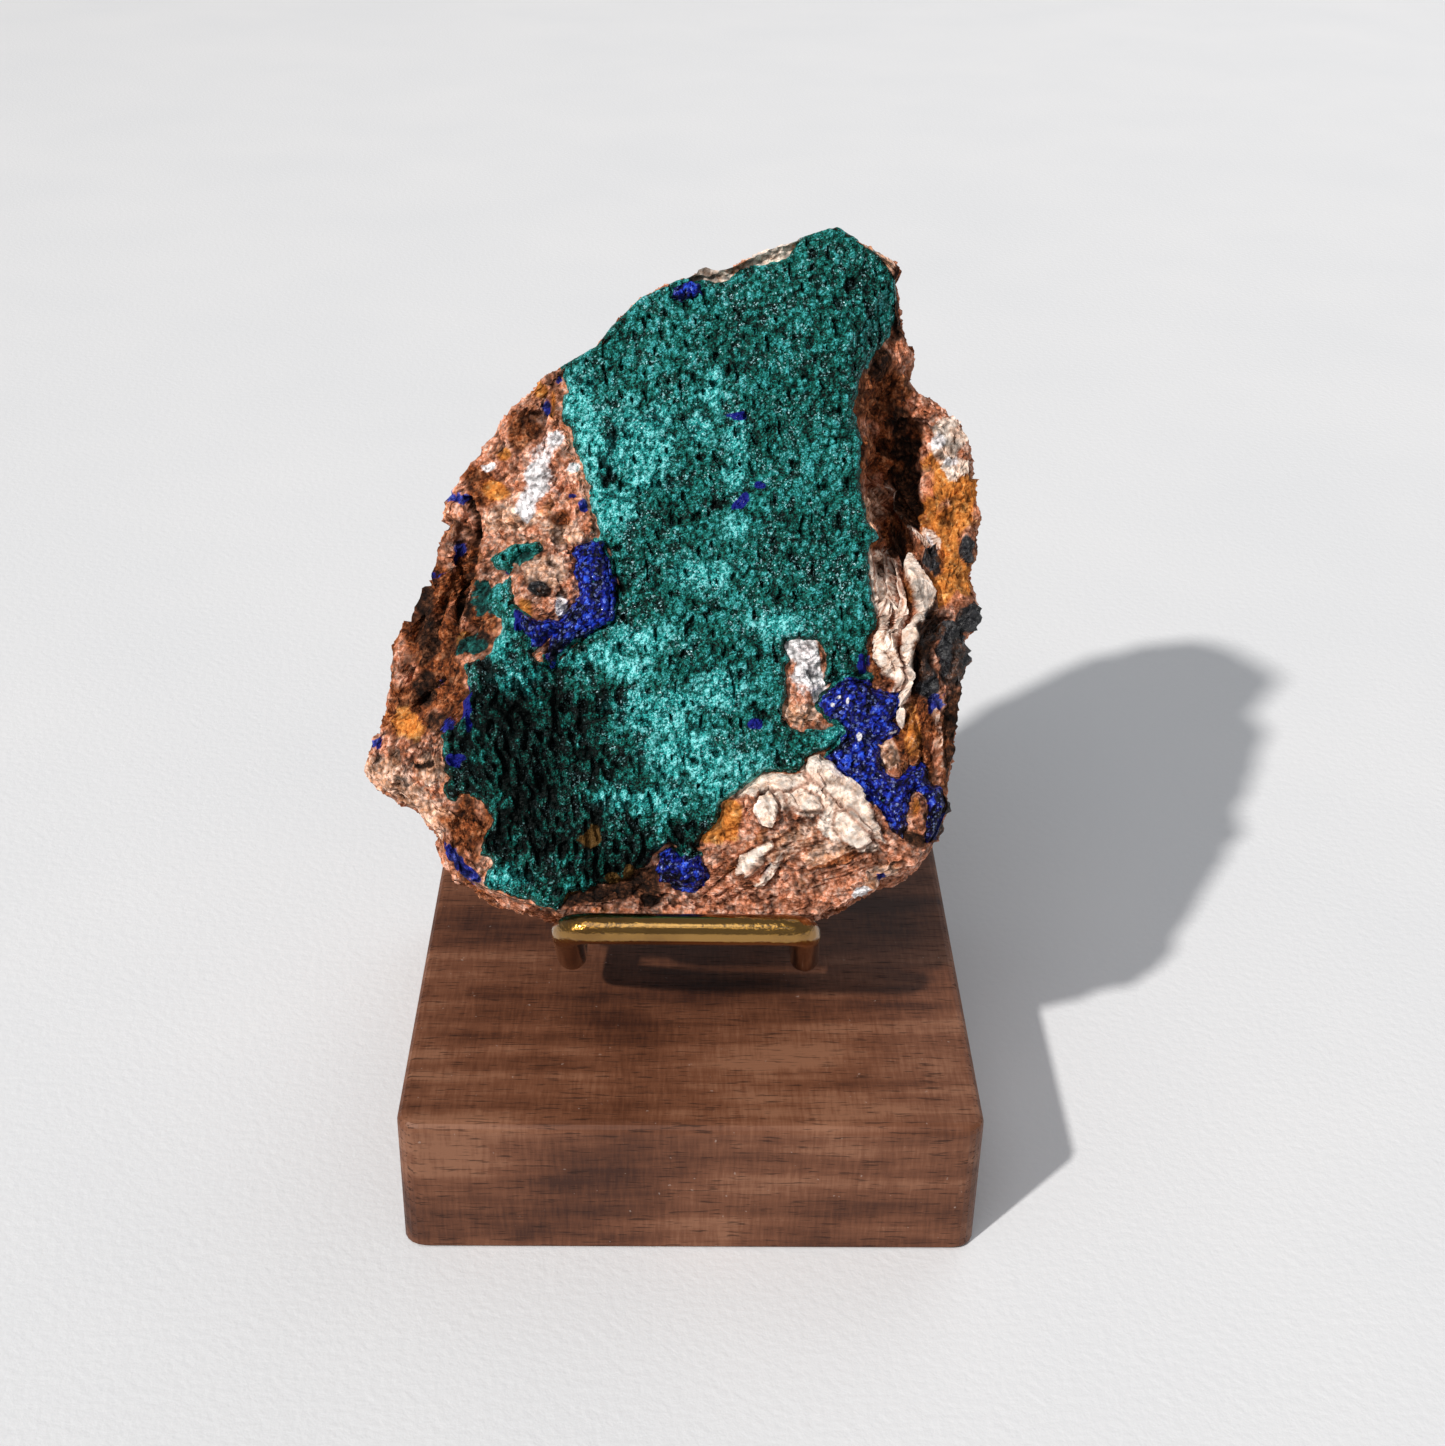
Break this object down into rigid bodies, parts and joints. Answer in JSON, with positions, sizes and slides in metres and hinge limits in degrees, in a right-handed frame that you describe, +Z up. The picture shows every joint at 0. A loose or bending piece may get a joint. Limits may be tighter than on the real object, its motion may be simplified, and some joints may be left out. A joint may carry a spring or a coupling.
{
  "type": "mineral specimen on a display stand",
  "caption": "Rock specimen with a malachite skin and azurite patches, leaning back in a bent brass rod cradle on a square walnut block.",
  "frame": {"origin": "middle of the walnut block's underside", "axes": "+Z up, -Y towards the front of the specimen, +X to its right as seen from the front"},
  "size_m": [0.0844, 0.0901, 0.1186],
  "materials": {
    "walnut": "satin oiled walnut, grain from left to right",
    "brass": "polished rod",
    "rock": "rough granular salmon and rust brown rock with white calcite",
    "malachite": "granular dark green skin with fine glints",
    "azurite": "deep blue crystalline crust"
  },
  "bodies": {
    "root": {"walnut_block": "walnut", "brass_cradle": "brass", "rock_matrix": "rock", "malachite_crust": "malachite", "azurite_left": "azurite", "azurite_right": "azurite", "azurite_bottom": "azurite", "azurite_top": "azurite"}
  },
  "joints": []
}
